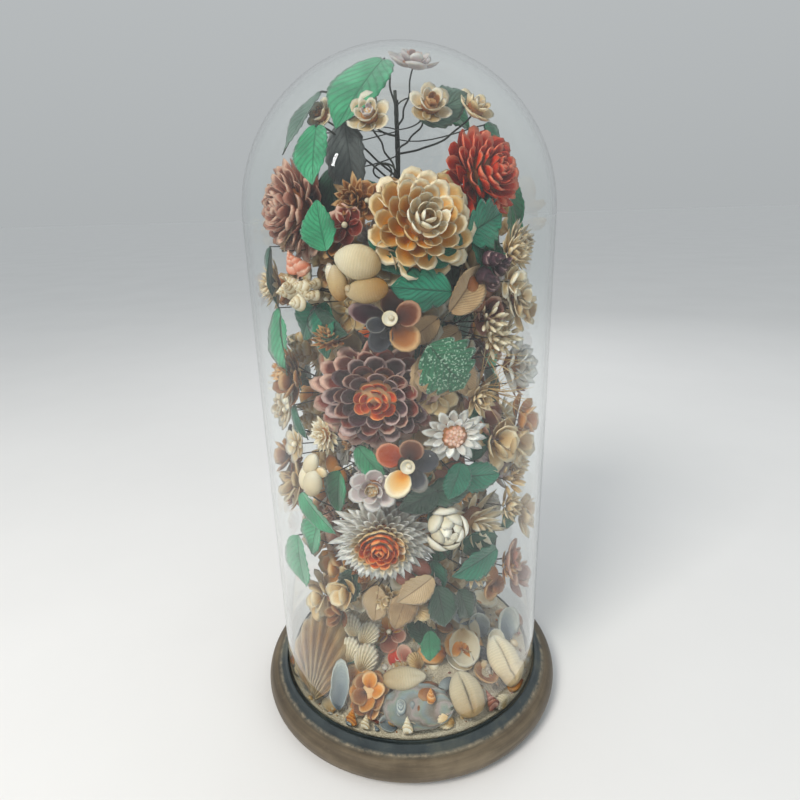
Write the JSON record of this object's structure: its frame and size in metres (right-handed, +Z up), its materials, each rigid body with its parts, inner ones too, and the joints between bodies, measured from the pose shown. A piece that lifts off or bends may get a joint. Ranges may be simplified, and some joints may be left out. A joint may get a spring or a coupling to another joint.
{
  "type": "glass display dome",
  "caption": "Shellwork flower bouquet on wire stems in a bed of shells, under a tall round-topped glass dome on a low turned round wooden base with bun feet.",
  "frame": {"origin": "on the table, under the middle of the round base, at the underside of the feet", "axes": "+Z up along the dome; -Y is the front that the picture shows; +X is to the viewer's right"},
  "size_m": [0.266, 0.266, 0.526],
  "materials": {
    "ebonised_wood": "worn ebonised",
    "clear_glass": "clear blown",
    "sand_plaster": "sandy",
    "dark_wire": "paper-wrapped wire",
    "green_leaf": "satin",
    "teal_leaf": "glittered satin",
    "peach_shell": "polished shell",
    "coral_shell": "dyed shell",
    "mauve_shell": "dyed shell",
    "wine_shell": "polished shell",
    "white_shell": "satin shell",
    "amber_shell": "translucent shell",
    "cream_shell": "satin shell",
    "tan_shell": "matt shell",
    "orange_shell": "matt shell",
    "nacre_shell": "mother-of-pearl"
  },
  "bodies": {
    "root": {"abalone_shell": "nacre_shell", "amber_blossom": "amber_shell", "amber_left_blossom": "amber_shell", "amber_top_blossom": "amber_shell", "back_brown_star": "wine_shell", "back_coral_peony": "coral_shell", "back_cream_carnation": "cream_shell", "back_mauve_carnation": "mauve_shell", "bean_bud": "cream_shell", "beige_star": "tan_shell", "brown_catkin": "orange_shell", "clam_bud": "amber_shell", "cockle_group": "white_shell", "coral_carnation": "coral_shell", "coral_pansy": "coral_shell", "cream_blossom": "cream_shell", "cream_peony": "cream_shell", "crown_blossom": "peach_shell", "crown_leaf": "green_leaf", "frilled_shell": "orange_shell", "front_foot": "ebonised_wood", "glass_dome": "clear_glass", "glitter_leaf": "teal_leaf", "large_cowrie": "white_shell", "left_bottom_leaf": "green_leaf", "left_foot": "ebonised_wood", "left_low_leaf": "green_leaf", "left_top_blossom": "cream_shell", "left_top_leaf": "green_leaf", "mauve_carnation": "mauve_shell", "middle_shells": "white_shell", "mussel_flower": "wine_shell", "mussel_shell": "nacre_shell", "orange_star": "orange_shell", "peach_dahlia": "peach_shell", "pink_top_blossom": "peach_shell", "red_blossom": "mauve_shell", "ribbed_ark_shell": "tan_shell", "rice_flower": "cream_shell", "right_foot": "ebonised_wood", "right_low_leaf": "teal_leaf", "right_teal_leaf": "teal_leaf", "right_top_blossom": "tan_shell", "rose_bud": "cream_shell", "sand_bed": "sand_plaster", "shore_flower": "peach_shell", "small_cowrie": "cream_shell", "snail_cluster": "cream_shell", "tan_leaf": "tan_shell", "tan_lily": "tan_shell", "teal_pair_leaf": "teal_leaf", "upright_leaf": "green_leaf", "whelk_shell": "cream_shell", "white_chrysanthemum": "white_shell", "white_daisy": "white_shell", "wine_dahlia": "wine_shell", "wine_star": "wine_shell", "wire_stems": "dark_wire", "wooden_base": "ebonised_wood", "yellow_star": "tan_shell"}
  },
  "joints": []
}
